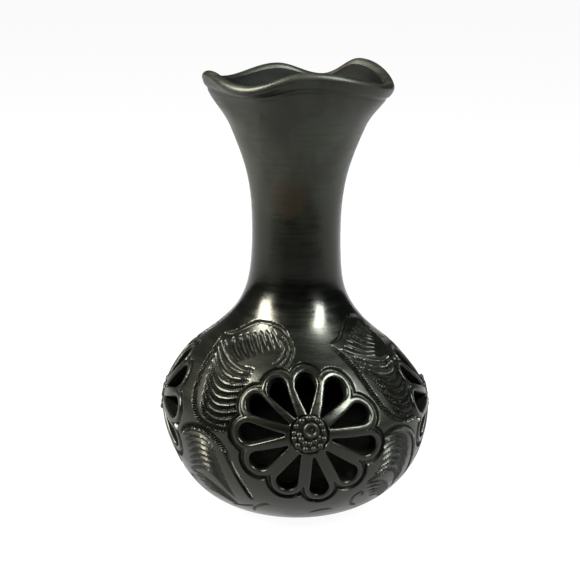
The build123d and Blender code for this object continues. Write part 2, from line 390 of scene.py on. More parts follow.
def all_strokes():
    """The grooves of every leaf spray, each a little different, and of the extra leaf at the back."""
    pick = np.random.default_rng(11)
    drawn = leaf_strokes()
    out = []
    for azimuth in SPRAY_AZIMUTHS:
        for stroke in drawn:
            first = azimuth == SPRAY_AZIMUTHS[0]
            jitter = (0, 0) if first else pick.normal(0, 1, 2)
            out.append(shifted(stroke, math.radians(azimuth + 0.35 * jitter[0]), 0.3 * jitter[1]))
    low, high = LOWER_LEAF_SPAN
    lower_leaf = [stroke for stroke in drawn if low < stroke.arc.mean() and stroke.arc.max() < high]
    out += [shifted(stroke, math.radians(BACK_LEAF_AZIMUTH), BACK_LEAF_RISE) for stroke in lower_leaf]
    return out


STROKES = all_strokes()


# ---- Carving: flowers ----
def teardrop_distance(x, y, inner, outer, end_radius):
    """Signed distance to a petal's outline that points along +Y from the hub."""
    small, large = PETAL_TIP_RADIUS, end_radius
    base = inner + small
    length = outer - large - base
    x, y = np.abs(x), y - base
    b = (small - large) / length
    a = math.sqrt(1 - b * b)
    k = -b * x + a * y
    side = a * x + b * y - small
    return np.where(
        k < 0,
        np.hypot(x, y) - small,
        np.where(k > a * length, np.hypot(x, y - length) - large, side),
    )


def flower_field(azimuth, arc):
    """Distances on the chart, in mm: outside the nearest opening, from the nearest hub, and outside
    the nearest flower's scalloped outline."""
    opening = np.full(len(azimuth), 99.0)
    hub = np.full(len(azimuth), 99.0)
    for centre, turn in zip(FLOWER_AZIMUTHS, FLOWER_TURNS):
        x = ((azimuth - math.radians(centre) + math.pi) % TAU - math.pi) * BODY_RADIUS
        y = arc - HUB_ARC
        away = np.hypot(x, y)
        near = np.flatnonzero(away < 44)
        x, y = x[near], y[near]
        hub[near] = np.minimum(hub[near], away[near])
        for direction, inner, outer, end_radius in PETALS:
            angle = math.radians(direction + turn)
            along = x * math.sin(angle) + y * math.cos(angle)
            across = x * math.cos(angle) - y * math.sin(angle)
            gap = teardrop_distance(across, along, inner, outer, end_radius)
            opening[near] = np.minimum(opening[near], gap)
    return opening, hub, np.minimum(opening - BAND, hub - NOTCH_RADIUS)


def smooth_step(low, high, value):
    share = np.clip((value - low) / (high - low), 0, 1)
    return share * share * (3 - 2 * share)


def relief(azimuth, arc):
    """The finished surface's height above the smooth profile, and how much of it a tool has cut."""
    depth = np.zeros(len(azimuth))
    opening, hub, outside = flower_field(azimuth, arc)
    for stroke in STROKES:
        stroke.cut(azimuth, arc, depth)
    depth *= np.clip((outside - CHANNEL_WIDTH + 0.1) / 0.5, 0, 1)
    carved = np.clip(depth / 0.9, 0, 1)
    across = outside / CHANNEL_WIDTH
    channel = smooth_step(-0.12, 0.5, across) * (1 - smooth_step(0.8, 1.06, across))
    depth = np.maximum(depth, CHANNEL_DEPTH * channel)
    carved = np.maximum(carved, channel * smooth_step(0.2, 0.7, across))
    # The knife leaves each opening's edge a little low and ragged
    ragged = 0.10 * waves(azimuth, arc, 1.1, 10, 24)
    band = (0.38 + ragged) * np.clip(1 - opening / 1.5, 0, 1) ** 1.6
    edge = EDGE_ROUNDING - np.sqrt(
        np.clip(EDGE_ROUNDING**2 - np.clip(EDGE_ROUNDING - opening, 0, EDGE_ROUNDING) ** 2, 0, None)
    )
    depth = np.maximum(depth, band) + edge
    depth = np.maximum(depth, HUB_SEAT_DEPTH * np.clip((HUB_SEAT_RADIUS - hub) / 0.6, 0, 1))
    tool = 0.035 * waves(azimuth, arc, 2.0, 14, 21) * (depth > 0.15)
    hand = 0.10 * waves(azimuth, arc, 26, 12, 22) + 0.035 * waves(azimuth, arc, 8, 14, 23)
    return hand + tool - depth, carved


# ---- Meshes ----
def add_mesh(name, points, faces, material, sharp_angle=36, carved=None, raw_from=None):
    """A smooth-shaded object from points in mm and faces of any size.

    Points may say how far a tool has cut them, and faces from a number on may be left unburnished.
    """
    mesh = bpy.data.meshes.new(name)
    sizes = np.array([len(f) for f in faces])
    loops = np.fromiter((i for f in faces for i in f), dtype=np.int32, count=int(sizes.sum()))
    mesh.vertices.add(len(points))
    mesh.vertices.foreach_set("co", (np.asarray(points, float) * MM).astype(np.float32).ravel())
    mesh.loops.add(len(loops))
    mesh.loops.foreach_set("vertex_index", loops)
    mesh.polygons.add(len(faces))
    mesh.polygons.foreach_set("loop_start", np.r_[0, np.cumsum(sizes)[:-1]].astype(np.int32))
    mesh.update(calc_edges=True)
    mesh.validate()
    mesh.polygons.foreach_set("use_smooth", np.ones(len(mesh.polygons), bool))
    mesh.set_sharp_from_angle(angle=math.radians(sharp_angle))
    piece = bpy.data.objects.new(name, mesh)
    bpy.context.scene.collection.objects.link(piece)
    mesh.materials.append(material)
    if carved is not None:
        cut = mesh.attributes.new("carved", "FLOAT", "POINT")
        cut.data.foreach_set("value", np.r_[carved, np.zeros(len(points) - len(carved))].astype(np.float32))
    if raw_from is not None:
        mesh.materials.append(RAW_CLAY)
        index = (np.arange(len(mesh.polygons)) >= raw_from).astype(np.int32)
        mesh.polygons.foreach_set("material_index", index)
    return piece


def stitch(outer, inner, points):
    """Triangles between two closed loops of point indices that run the same way."""
    start = np.linalg.norm(points[inner] - points[outer[0]], axis=1).argmin()
    inner = list(inner[start:]) + list(inner[:start])
    a, b = len(outer), len(inner)
    i = j = 0
    faces = []
    while i < a or j < b:
        p, q = outer[i % a], inner[j % b]
        next_p, next_q = outer[(i + 1) % a], inner[(j + 1) % b]
        step_outer = j >= b or (
            i < a
            and np.linalg.norm(points[next_p] - points[q]) <= np.linalg.norm(points[next_q] - points[p])
        )
        if step_outer:
            faces.append((p, next_p, q))
            i += 1
        else:
            faces.append((p, next_q, q))
            j += 1
    return faces


class Sheet:
    """A patch of the chart, all the way round, as cells that are finer where there is more detail.

    Cells lie on a lattice of columns round the vessel and rows up it. A coarse cell may be split
    into four, and each of those into four again. Cells inside an opening are left out, and the
    lattice points next to an opening move onto its outline.
    """

    def __init__(self, low, high, columns, detail):
        self.columns = columns
        girth = TAU * BODY_RADIUS / columns
        self.rows = max(int(round((high - low) / girth)), 2)
        self.low, self.high = low, high
        self.cells(self.levels(detail))

    def chart(self, column, row):
        """Azimuth and arc length of lattice points."""
        azimuth = column * (TAU / (4 * self.columns))
        return azimuth, self.low + row * ((self.high - self.low) / (4 * self.rows))

    def levels(self, detail):
        """How finely each coarse cell is split: 0, 1 or 2, never two steps apart from a neighbour."""
        column, row = np.meshgrid(np.arange(self.columns) + 0.5, np.arange(self.rows) + 0.5, indexing="ij")
        azimuth, arc = self.chart(column.ravel() * 4, row.ravel() * 4)
        level = detail(azimuth, arc).reshape(self.columns, self.rows)
        level[:, 0] = level[:, -1] = 2
        spread = level.copy()
        for dc in (-1, 0, 1):
            for dr in (-1, 0, 1):
                moved = np.roll(level, (dc, dr), (0, 1))
                if dr == 1:
                    moved[:, 0] = 0
                if dr == -1:
                    moved[:, -1] = 0
                spread = np.maximum(spread, moved - 1)
        return spread

    def cells(self, level):
        """Makes the cells, drops those inside openings and numbers the lattice points in use."""
        around, up = 4 * self.columns, 4 * self.rows
        squares = []
        for deep, size in ((0, 4), (1, 2), (2, 1)):
            column, row = np.nonzero(level == deep)
            part = np.arange(0, 4, size)
            c = (column[:, None, None] * 4 + part[None, :, None] + 0 * part[None, None, :]).ravel()
            r = (row[:, None, None] * 4 + 0 * part[None, :, None] + part[None, None, :]).ravel()
            squares.append(np.c_[c, r, np.full(len(c), size)])
        squares = np.concatenate(squares)
        middle = self.chart(squares[:, 0] + squares[:, 2] / 2, squares[:, 1] + squares[:, 2] / 2)
        squares = squares[flower_field(*middle)[0] > 0]
        c, r, size = squares.T
        used = np.zeros((around, up + 1), bool)
        for dc, dr in ((0, 0), (1, 0), (1, 1), (0, 1)):
            used[(c + dc * size) % around, r + dr * size] = True
        number = np.full(used.shape, -1)
        number[used] = np.arange(used.sum())
        self.column, self.row = np.nonzero(used)
        corners = []
        for dc, dr in ((0, 0), (0.5, 0), (1, 0), (1, 0.5), (1, 1), (0.5, 1), (0, 1), (0, 0.5)):
            at = number[(c + (dc * size).astype(int)) % around, r + (dr * size).astype(int)]
            if dc == 0.5 or dr == 0.5:
                at = np.where(size > 1, at, -1)
            corners.append(at)
        corners = np.stack(corners, axis=1)
        whole = (corners[:, 1::2] < 0).all(axis=1)
        self.faces = corners[whole][:, ::2].tolist()
        self.faces += [[i for i in face if i >= 0] for face in corners[~whole].tolist()]
        self.azimuth, self.arc = self.chart(self.column, self.row)
        self.find_loops()
        self.snap()

    def find_loops(self):
        """The closed chains of border points, each in the direction its faces leave open."""
        faces = self.faces
        edges = set()
        for face in faces:
            edges.update(zip(face, face[1:] + face[:1]))
        border = {}
        for a, b in edges:
            if (b, a) not in edges:
                border.setdefault(b, []).append(a)
        self.loops = []
        while border:
            chain = [next(iter(border))]
            while True:
                options = border[chain[-1]]
                onward = options.pop()
                if not options:
                    del border[chain[-1]]
                if onward == chain[0]:
                    break
                chain.append(onward)
            self.loops.append(np.array(chain))

    def snap(self):
        """Moves the border points of the openings onto the outline."""
        rim = [loop for loop in self.loops if not self.is_edge(loop)]
        if not rim:
            return
        points = np.unique(np.concatenate(rim))
        small = 0.02
        for _ in range(3):
            azimuth, arc = self.azimuth[points], self.arc[points]
            here = flower_field(azimuth, arc)[0]
            east = flower_field(azimuth + small / BODY_RADIUS, arc)[0]
            north = flower_field(azimuth, arc + small)[0]
            gx, gy = (east - here) / small, (north - here) / small
            size = np.maximum(gx**2 + gy**2, 0.05)
            move = np.clip(here, -0.5, 0.5)
            self.azimuth[points] = azimuth - move * gx / size / BODY_RADIUS
            self.arc[points] = arc - move * gy / size

    def is_edge(self, loop):
        """True for the sheet's own bottom and top rows."""
        return bool((self.row[loop] == 0).all() or (self.row[loop] == 4 * self.rows).all())


def seam_arc(seam, low, high, inside=False):
    """Arc length at which the outer or the inner surface crosses a seam's line."""
    arc = np.linspace(low, high, 4000)
    radius, height = lifted(arc, -wall_at(arc) if inside else 0)
    (r0, z0), (r1, z1) = seam
    side = (radius - r0) * (z1 - z0) - (height - z0) * (r1 - r0)
    cross = np.flatnonzero(np.sign(side[1:]) != np.sign(side[:-1]))
    return float(arc[cross[0]])


# From this share of a stroke's depth on, its notches need the finest cells
DEEP_NOTCH = 0.2


def no_detail(azimuth, arc):
    """Splits nothing."""
    return np.zeros(len(azimuth), int)


def opening_detail(azimuth, arc):
    """Splits the inner surface's cells next to an opening."""
    return 2 * (np.abs(flower_field(azimuth, arc)[0]) < 1.5).astype(int)


def carving_detail(azimuth, arc):
    """Splits the outer surface's cells twice on notched strokes and openings, once on the rest."""
    level = np.zeros(len(azimuth), int)
    opening, hub, outside = flower_field(azimuth, arc)
    level[outside < CHANNEL_WIDTH + 0.9] = 1
    level[np.abs(opening) < 0.8] = 2
    level[np.abs(outside - 0.92 * CHANNEL_WIDTH) < 0.5] = 2
    for stroke in STROKES:
        near = stroke.measure(azimuth, arc, stroke.width + 1.1)[0]
        level[near] = np.maximum(level[near], 1)
        if stroke.notch >= DEEP_NOTCH:
            near = stroke.measure(azimuth, arc, stroke.width + 0.35)[0]
            level[near] = 2
    return level


# Rows of faces through the wall of an opening
HOLE_STEPS = 7


def wall_piece(name, outer_ends, inner_ends, columns, material, detail, inner_detail):
    """A closed ring of the wall between two seams, with the openings cut through it."""
    outer = Sheet(*outer_ends, columns, detail)
    inner = Sheet(*inner_ends, columns // 2, inner_detail)
    lift, carved = relief(outer.azimuth, outer.arc)
    points = [on_outer(outer.azimuth, outer.arc, lift)]
    rough = 0.15 * waves(inner.azimuth, inner.arc, 7, 12, 31)
    rough *= np.sin(math.pi * (inner.arc - inner.low) / (inner.high - inner.low))
    points.append(on_outer(inner.azimuth, inner.arc, -wall_at(inner.arc) + rough))
    first_inner = len(outer.azimuth)
    faces = list(outer.faces)
    faces += [[i + first_inner for i in reversed(face)] for face in inner.faces]
    count = first_inner + len(inner.azimuth)
    stitches = []
    for loop in outer.loops:
        partner = nearest_loop(outer, loop, inner)
        if outer.is_edge(loop):
            stitches.append((loop, partner + first_inner))
            continue
        ring = loop
        azimuth, arc = outer.azimuth[loop], outer.arc[loop]
        top = lift[loop]
        low = -wall_at(arc)
        for step in range(1, HOLE_STEPS):
            share = step / HOLE_STEPS
            cut = 0.10 * waves(azimuth, arc + 3.1 * share, 2.6, 8, 37) * math.sin(share * math.pi)
            level = on_outer(azimuth + cut / BODY_RADIUS, arc + cut * 0.7, top + (low - top) * share)
            fresh = np.arange(count, count + len(loop))
            points.append(level)
            count += len(loop)
            following = np.roll(np.arange(len(loop)), -1)
            quads = np.stack([ring, ring[following], fresh[following], fresh], axis=1)
            faces += quads.tolist()
            ring = fresh
        stitches.append((ring, partner + first_inner))
    points = np.concatenate(points)
    for ring, partner in stitches:
        faces += stitch(list(ring), list(partner), points)
    return add_mesh(name, points, faces, material, carved=carved, raw_from=len(outer.faces))


def nearest_loop(outer, loop, inner):
    """The inner sheet's loop that faces an outer one, turned to run the same way."""
    if outer.is_edge(loop):
        bottom = outer.row[loop[0]] == 0
        for other in inner.loops:
            if inner.is_edge(other) and (inner.row[other[0]] == 0) == bottom:
                return other
    at = on_outer(outer.azimuth[loop], outer.arc[loop]).mean(axis=0)
    holes = [other for other in inner.loops if not inner.is_edge(other)]
    gaps = [
        np.linalg.norm(on_outer(inner.azimuth[other], inner.arc[other]).mean(axis=0) - at)
        for other in holes
    ]
    return holes[int(np.argmin(gaps))]


# ---- The slab and the ruffled rim ----
def grid_faces(rows, columns, wrap_rows=False):
    """Quads of a grid that closes along its columns, and along its rows too if asked."""
    row = np.arange(rows if wrap_rows else rows - 1)[:, None]
    column = np.arange(columns)[None, :]
    a = row * columns + column
    b = row * columns + (column + 1) % columns
    above = (row + 1) % rows * columns
    c = above + (column + 1) % columns
    d = above + column
    return np.stack([a, b, c, d], axis=-1).reshape(-1, 4).tolist()


def capped_faces(rows, columns):
    """Faces of a grid whose first and last rows are closed by fans to two more points."""
    first, last, end = rows * columns, rows * columns + 1, (rows - 1) * columns
    faces = grid_faces(rows, columns)
    for i in range(columns):
        j = (i + 1) % columns
        faces.append([first, j, i])
        faces.append([last, end + i, end + j])
    return faces


def turned_piece(name, line, columns, material):
    """A solid of revolution from a line that starts and ends on the axis."""
    line = np.array(line, float)
    azimuth = np.arange(columns) * TAU / columns
    body = in_space(azimuth[None, :], line[1:-1, 0:1], line[1:-1, 1:2]).reshape(-1, 3)
    points = np.r_[body, in_space(np.zeros(2), np.zeros(2), line[[0, -1], 1])]
    return add_mesh(name, points, capped_faces(len(line) - 2, columns), material)


def slab_line():
    """The slab's half outline: its underside, its bevelled edge and the floor inside."""
    seam = seam_arc(SLAB_SEAM, FOOT_RADIUS, arc_at(20))
    arcs = np.linspace(0, seam, 60)
    under = np.c_[radius_at(arcs), height_at(arcs)]
    inner = seam_arc(SLAB_SEAM, FOOT_RADIUS, arc_at(40), inside=True)
    edge_r, edge_z = lifted(inner, -wall_at(inner))
    inside = [(r, FLOOR + (edge_z - FLOOR) * (r / edge_r) ** 6) for r in np.linspace(edge_r, 0, 24)]
    return np.r_[under, inside]


# The crests and dips of the edge: azimuth, then radius, height and rise angle of its centre
RUFFLE = [
    (6, 40.0, 206.0, 72),
    (80, 41.3, 198.3, 60),
    (134, 40.5, 206.5, 70),
    (165, 41.0, 198.0, 45),
    (195, 40.0, 203.0, 65),
    (233, 41.5, 198.0, 40),
    (290, 41.2, 203.8, 85),
    (328, 42.3, 199.6, 12),
]
RIM_HALF_WALL = 2.0
LIP_RADIUS = 2.45
LIP_GROOVE = 0.55
RIM_ROWS = 56
LIP_ROWS = 16
OUT_NORMAL_AT_RIM = np.array([1, -RIM_BASE_SLOPE])[:, None] / math.hypot(RIM_BASE_SLOPE, 1)


def ruffle_at(azimuth):
    """Radius, height and rise angle of the edge's centre at azimuths in radians."""
    degrees = np.degrees(azimuth) % 360
    out = np.zeros((3, len(azimuth)))
    for low, high in zip(RUFFLE, RUFFLE[1:] + RUFFLE[:1]):
        span = (high[0] - low[0]) % 360
        into = (degrees - low[0]) % 360
        here = into <= span
        share = (1 - np.cos(math.pi * into[here] / span)) / 2
        for k in range(3):
            out[k, here] = low[k + 1] + (high[k + 1] - low[k + 1]) * share
    return out


def rim_piece(name, columns, material):
    """The ruffle: a wall that bends outwards by an angle that varies, and ends in a rolled lip."""
    azimuth = np.arange(columns) * TAU / columns
    radius, height, rise = ruffle_at(azimuth)
    radius += 0.25 * waves(azimuth, 0 * azimuth, 18, 6, 41)
    height += 0.22 * waves(azimuth, 0 * azimuth, 14, 6, 42)
    base_arc = ARC[-1]
    wall = float(wall_at(base_arc))
    out_r, out_z = OUT_R[-1], OUT_Z[-1]
    hand = relief(azimuth, np.full(columns, base_arc))[0]
    outer_base = np.stack([RIM_BASE_RADIUS + out_r * hand, RIM_BASE_Z + out_z * hand])
    inner_base = np.array([RIM_BASE_RADIUS - out_r * wall, RIM_BASE_Z - out_z * wall])[:, None] + 0 * hand
    start = (outer_base + inner_base) / 2
    end = np.stack([radius, height])
    reach = np.linalg.norm(end - start, axis=0)
    slope = np.array([RIM_BASE_SLOPE, 1])[:, None] / math.hypot(RIM_BASE_SLOPE, 1)
    lead_in = start + slope * reach * 0.4
    heading = np.stack([np.cos(np.radians(rise)), np.sin(np.radians(rise))])
    lead_out = end - heading * reach * 0.35
    outside, inside = [], []
    for t in np.linspace(0, 1, RIM_ROWS):
        middle = (
            (1 - t) ** 3 * start + 3 * (1 - t) ** 2 * t * lead_in
            + 3 * (1 - t) * t**2 * lead_out + t**3 * end
        )
        along = (
            3 * (1 - t) ** 2 * (lead_in - start) + 6 * (1 - t) * t * (lead_out - lead_in)
            + 3 * t**2 * (end - lead_out)
        )
        along /= np.linalg.norm(along, axis=0)
        out = np.stack([along[1], -along[0]])
        half = RIM_HALF_WALL + (LIP_RADIUS - RIM_HALF_WALL) * smooth_step(0.72, 0.92, t)
        groove = LIP_GROOVE * math.exp(-(((t - 0.83) / 0.045) ** 2))
        # Near the mouth the wall keeps to the mouth's own edges
        held = (1 - t) ** 3
        to_outer = outer_base - start - OUT_NORMAL_AT_RIM * half
        to_inner = inner_base - start + OUT_NORMAL_AT_RIM * half
        outside.append(middle + out * (half - groove) + to_outer * held)
        inside.append(middle - out * half + to_inner * held)
    cap = [
        end + (out * math.cos(angle) + along * math.sin(angle)) * LIP_RADIUS
        for angle in np.linspace(0, math.pi, LIP_ROWS + 2)[1:-1]
    ]
    ring = np.array(outside + cap + inside[::-1])
    points = in_space(azimuth[None, :], ring[:, 0], ring[:, 1]).reshape(-1, 3)
    faces = grid_faces(len(ring), columns, wrap_rows=True)
    raw_row = len(outside) + len(cap) + 2
    return add_mesh(name, points, faces, material, raw_from=raw_row * columns)


# ---- The hubs' applied clay ----
BOSS_RADIUS = 8.2
BOSS_SEAT = 2.2
BOSS_THICKNESS = 0.8
BUTTON_AT = (0.8, 1.7)
BUTTON_RADIUS = 3.6
BUTTON_THICKNESS = 1.75
BUTTON_CREST = 2.65
BUTTON_CREST_HALF_WIDTH = 1.15
BUTTON_CREST_RISE = 1.15
DISH_LEVEL = 0.35
DOT_RADIUS = 0.95
DOT_RISE = 0.55
PELLET_RADIUS = 1.42
OUTER_PELLETS = 13
OUTER_PELLET_RING = 6.9
INNER_PELLETS = 6
INNER_PELLET_RING = 4.45
INNER_PELLETS_FROM = 115
INNER_PELLET_STEP = 30


def hub_frame(flower):
    """Origin and axes of a flower's boss: up along its top petal, right, and out of the wall."""
    azimuth = math.radians(FLOWER_AZIMUTHS[flower])
    turn = math.radians(FLOWER_TURNS[flower])
    at = on_outer(np.array([azimuth]), np.array([HUB_ARC]))[0]
    east = np.array([math.cos(azimuth), math.sin(azimuth), 0])
    out_r, out_z = np.interp(HUB_ARC, ARC, OUT_R), np.interp(HUB_ARC, ARC, OUT_Z)
    out = np.array([out_r * math.sin(azimuth), -out_r * math.cos(azimuth), out_z])
    north = np.cross(out, east)
    up = north * math.cos(turn) + east * math.sin(turn)
    right = east * math.cos(turn) - north * math.sin(turn)
    return at - out * BOSS_SEAT, right, up, out


def domed(radii, columns, centre, top, frame_at):
    """Points and faces of a round pat of clay: a flat underside and a top given by a function."""
    origin, right, up, out = frame_at
    angle = np.arange(columns) * TAU / columns
    radius = radii[:, None] + 0 * angle
    height = np.r_[top(radius, angle + 0 * radius), np.zeros((1, columns))]
    radius = np.r_[radius, radius[-1:]]
    x = centre[0] + radius * np.sin(angle)
    y = centre[1] + radius * np.cos(angle)
    grid = x[:, :, None] * right + y[:, :, None] * up + height[:, :, None] * out + origin
    under = centre[0] * right + centre[1] * up + origin
    points = np.r_[grid[1:].reshape(-1, 3), grid[0, :1], [under]]
    return points, capped_faces(len(radii), columns)


def joined(parts):
    """One list of points and faces from several closed parts."""
    points, faces, count = [], [], 0
    for more, shapes in parts:
        points.append(more)
        faces += [[i + count for i in face] for face in shapes]
        count += len(more)
    return np.concatenate(points), faces


def boss_piece(flower, material):
    """The disc under a flower's pellets, a little uneven, with a softened edge."""
    def top(radius, angle):
        edge = np.clip((radius - BOSS_RADIUS + 1.6) / 1.6, 0, 1)
        uneven = 0.06 * np.sin(3 * angle + flower) * np.sin(radius) + 0.04 * np.sin(7 * angle + radius)
        return BOSS_THICKNESS - 0.45 * edge**2 + uneven * (radius > 0.1)

    radii = np.r_[np.linspace(0, BOSS_RADIUS - 0.8, 20), np.linspace(BOSS_RADIUS - 0.6, BOSS_RADIUS, 6)]
    points, faces = domed(radii, 96, (0, 0), top, hub_frame(flower))
    return add_mesh(f"flower_boss_clay_{flower + 1}", points, faces, material)


def button_piece(flower, material):
    """The ring-shaped button in the middle, with a dished top and a dot of clay in the dish."""
    def top(radius, angle):
        from_crest = np.clip(np.abs(radius - BUTTON_CREST) / BUTTON_CREST_HALF_WIDTH, 0, 1)
        rim = BUTTON_THICKNESS - BUTTON_CREST_RISE * from_crest**2.2
        dot = DISH_LEVEL + DOT_RISE * np.sqrt(np.clip(1 - (radius / DOT_RADIUS) ** 2, 0, 1))
        shape = np.where(radius < BUTTON_CREST, np.maximum(rim, dot), np.maximum(rim, 0.12))
        return shape + BOSS_THICKNESS + 0.05 * np.sin(2 * angle + flower) * (radius > 0.1)

    origin, right, up, out = hub_frame(flower)
    radii = np.linspace(0, BUTTON_RADIUS, 30)
    points, faces = domed(radii, 64, BUTTON_AT, top, (origin, right, up, out))
    low = np.flatnonzero(((points - origin) @ out) < 0.01)
    points[low] += out * BOSS_THICKNESS * 0.98
    return add_mesh(f"flower_button_clay_{flower + 1}", points, faces, material)


def pellet_piece(flower, material):
    """The pellets on a boss, rolled and pressed by hand, so each is a little different."""
    pick = np.random.default_rng(50 + flower)
    spots = [(OUTER_PELLET_RING, 360 * i / OUTER_PELLETS) for i in range(OUTER_PELLETS)]
    spots += [(INNER_PELLET_RING, INNER_PELLETS_FROM + INNER_PELLET_STEP * i) for i in range(INNER_PELLETS)]
    parts = []
    origin, right, up, out = hub_frame(flower)
    face = (origin + out * BOSS_THICKNESS * 0.95, right, up, out)
    for ring, angle in spots:
        size = PELLET_RADIUS * pick.uniform(0.88, 1.08)
        tall = size * pick.uniform(0.85, 1.0)
        ring += pick.normal(0, 0.22)
        angle = math.radians(angle + pick.normal(0, 2.2))

        def top(radius, _, size=size, tall=tall):
            return tall * np.sqrt(np.clip(1 - (radius / size) ** 2, 0.004, 1))

        radii = size * np.sin(np.linspace(0, math.pi / 2, 10))
        centre = (ring * math.sin(angle), ring * math.cos(angle))
        parts.append(domed(radii, 22, centre, top, face))
    points, faces = joined(parts)
    return add_mesh(f"flower_pellets_clay_{flower + 1}", points, faces, material)


# ---- Materials ----
class Graph:
    """Short ways to add and join a tree's nodes."""

    def __init__(self, owner):
        owner.use_nodes = True
        self.tree = owner.node_tree

    def fill(self, node, settings):
        """Sets or links a node's sockets, by name with _ for a space, or by number."""
        for key, value in settings.items():
            socket = node.inputs[int(key)] if key.isdigit() else node.inputs[key.replace("_", " ")]
            if isinstance(value, bpy.types.NodeSocket):
                self.tree.links.new(value, socket)
            else:
                socket.default_value = value

    def add(self, kind, **settings):
        """A new node; a setting in lower case is the node's own, and the others are its sockets."""
        node = self.tree.nodes.new(kind)
        own = [key for key in settings if key[0].islower()]
        for key in own:
            setattr(node, key, settings.pop(key))
        self.fill(node, settings)
        return node

    def ramp(self, value, low, high, start=0.0, end=1.0):
        """Maps low..high to start..end, held at both ends."""
        limits = {"From Min": low, "From Max": high, "To Min": start, "To Max": end}
        node = self.add("ShaderNodeMapRange", Value=value, interpolation_type="SMOOTHSTEP", **limits)
        return node.outputs[0]

    def maths(self, operation, first, *others):
        """One operation on two values, and then on its result and each value after them."""
        for other in others:
            first = self.add("ShaderNodeMath", operation=operation, **{"0": first, "1": other}).outputs[0]
        return first

    def mix(self, share, first, second):
        return self.add("ShaderNodeMix", data_type="RGBA", **{"0": share, "6": first, "7": second}).outputs[2]


class Material(Graph):
    """A new material with a Principled shader, placed in the frame's metres."""

    def __init__(self, name):
        self.material = bpy.data.materials.new(name)
        super().__init__(self.material)
        self.place = self.add("ShaderNodeTexCoord").outputs["Object"]

    def shade(self, **settings):
        """Sets or links the shader's sockets, and gives back the material."""
        self.fill(self.tree.nodes["Principled BSDF"], settings)
        return self.material

    def noise(self, scale, stretch=(1, 1, 1), detail=4.0, rough=0.55):
        """Noise from 0 to 1, in units of one metre, stretched along the axes."""
        moved = self.add("ShaderNodeMapping", Vector=self.place, Scale=stretch).outputs[0]
        return self.add(
            "ShaderNodeTexNoise", Vector=moved, Scale=scale, Detail=detail, Roughness=rough
        ).outputs[0]


# Marks on the neck: azimuth, height and size in mm
SMOKE_SPOT = (-27, 187.5, 2.6)
BROWN_PATCH = (-6, 151, 11)


def near_mark(graph, mark):
    """1 on a mark, fading to 0 round it."""
    azimuth, height, size = mark
    turn = math.radians(azimuth)
    arc = arc_at(min(height, RIM_BASE_Z - 0.01))
    reach = radius_at(arc) + max(height - RIM_BASE_Z, 0) * 0.55
    centre = in_space(np.array(turn), np.array(float(reach)), np.array(float(height))) * MM
    gap = graph.add("ShaderNodeVectorMath", operation="DISTANCE", **{"0": graph.place, "1": centre.tolist()})
    spread = size * MM
    wobble = graph.ramp(graph.noise(160, detail=3), 0.3, 0.7, -0.35 * spread, 0.35 * spread)
    return graph.ramp(graph.maths("ADD", gap.outputs["Value"], wobble), 0.45 * spread, 1.1 * spread, 1, 0)


def burnished_clay(name, applied=False):
    """Smoke-blackened clay: polished with a stone, streaked round the neck and duller where it's carved. The
    upper neck is paler, partly for its matt finish and partly as painted sheen; the lower body is paler with
    painted sheen, and painted shade darkens the carving.
    """
    graph = Material(name)
    height = graph.add("ShaderNodeSeparateXYZ", Vector=graph.place).outputs[2]
    cloud = graph.noise(38, detail=5)
    blotch = graph.noise(62, stretch=(1, 1, 0.6), detail=4)
    streak = graph.noise(120, stretch=(0.35, 0.35, 4.5), detail=5, rough=0.6)
    grain = graph.noise(900, detail=3)
    fine = graph.noise(420, stretch=(0.4, 0.4, 3.0), detail=3)
    carved = graph.add("ShaderNodeAttribute", attribute_name="carved").outputs["Fac"]

    coal = (0.0007, 0.0008, 0.0007, 1)
    ash = (0.0017, 0.0020, 0.0015, 1)
    lower_body_painted_sheen = (0.0019, 0.0023, 0.0016, 1)
    umber = (0.0075, 0.0050, 0.0026, 1)
    pale = (0.0135, 0.0152, 0.0115, 1)
    # Upper neck and flare: paler for the matt streaked finish, and partly a painted sheen that stands in for
    # the pale table they reflect
    upper = graph.maths(
        "MULTIPLY",
        graph.ramp(height, 0.128, 0.176),
        graph.ramp(streak, 0.32, 0.68, 0.45, 1.0),
        graph.ramp(blotch, 0.38, 0.60, 0.22, 1.0),
    )
    colour = graph.mix(graph.ramp(cloud, 0.36, 0.66), coal, ash)
    # Painted reflection: the body is painted lighter up to 78 mm, fading out by 100 mm, for the pale table's
    # sheen on its downward faces
    colour = graph.mix(graph.ramp(height, 0.078, 0.100, 0.85, 0.0), colour, lower_body_painted_sheen)
    colour = graph.mix(upper, colour, pale)
    colour = graph.mix(near_mark(graph, BROWN_PATCH), colour, umber)
    colour = graph.mix(near_mark(graph, SMOKE_SPOT), colour, coal)
    # Painted shade: the carved grooves and the flowers' channel are darkened towards coal by how deep they
    # are cut
    colour = graph.mix(graph.maths("MULTIPLY", carved, 0.75), colour, coal)

    rough = graph.maths(
        "ADD",
        graph.ramp(height, 0.122, 0.176, 0.19, 0.41),
        graph.ramp(streak, 0.25, 0.75, -0.05, 0.06),
        graph.ramp(cloud, 0.3, 0.7, -0.05, 0.07),
        graph.ramp(height, 0.074, 0.096, 0.10, 0.0),
        graph.maths("MULTIPLY", carved, 0.12),
        0.08 if applied else 0.0,
    )
    bumps = graph.maths(
        "ADD",
        graph.maths("MULTIPLY", grain, 0.35),
        graph.maths("MULTIPLY", fine, 0.8),
        graph.maths("MULTIPLY", streak, 0.9),
    )
    bump = graph.add("ShaderNodeBump", Strength=0.25, Distance=0.00012, Height=bumps).outputs[0]
    return graph.shade(
        Base_Color=colour,
        Roughness=rough,
        Normal=bump,
        Specular_IOR_Level=0.36,
        Specular_Tint=(0.985, 1.0, 0.86, 1),
        IOR=1.5,
    )


